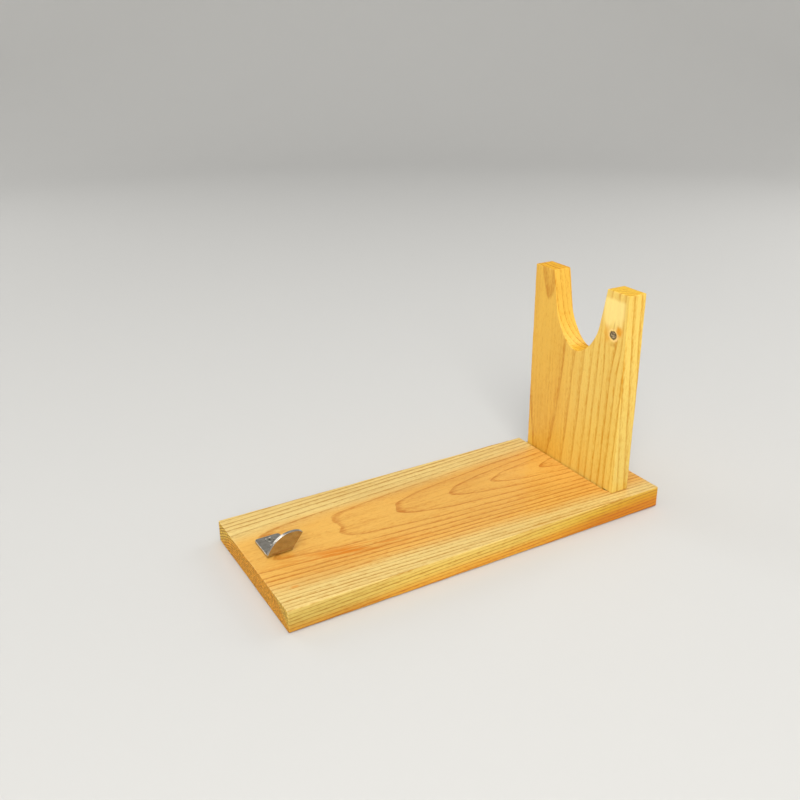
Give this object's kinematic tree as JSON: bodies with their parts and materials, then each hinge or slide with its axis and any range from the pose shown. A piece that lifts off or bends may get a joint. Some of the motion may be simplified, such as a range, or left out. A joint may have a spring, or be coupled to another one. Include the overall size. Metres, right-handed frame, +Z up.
{
  "type": "ham holder stand",
  "caption": "Ham holder stand: a varnished pine base with a notched upright housed near one end and a bent steel claw near the other, on thin non-slip pads.",
  "frame": {"origin": "centre of the footprint, on the surface that the stand rests on", "axes": "+X along the base from the claw to the upright, +Y across the base towards the groove's open end, +Z up"},
  "size_m": [0.4, 0.163, 0.2228],
  "materials": {
    "varnished_pine": "honey-coloured pine under satin varnish",
    "stainless_steel": "polished stainless sheet with a fine grain",
    "zinc_plated_steel": "zinc-plated, slightly dull",
    "rubber": "matt black rubber"
  },
  "bodies": {
    "root": {"base_board": "varnished_pine", "upright_board": "varnished_pine", "claw_bracket": "stainless_steel", "claw_screw_1": "zinc_plated_steel", "claw_screw_2": "zinc_plated_steel", "upright_screw_1": "zinc_plated_steel", "upright_screw_2": "zinc_plated_steel", "upright_screw_3": "zinc_plated_steel", "foot_pad_left_near": "rubber", "foot_pad_left_far": "rubber", "foot_pad_right_near": "rubber", "foot_pad_right_far": "rubber"}
  },
  "joints": []
}
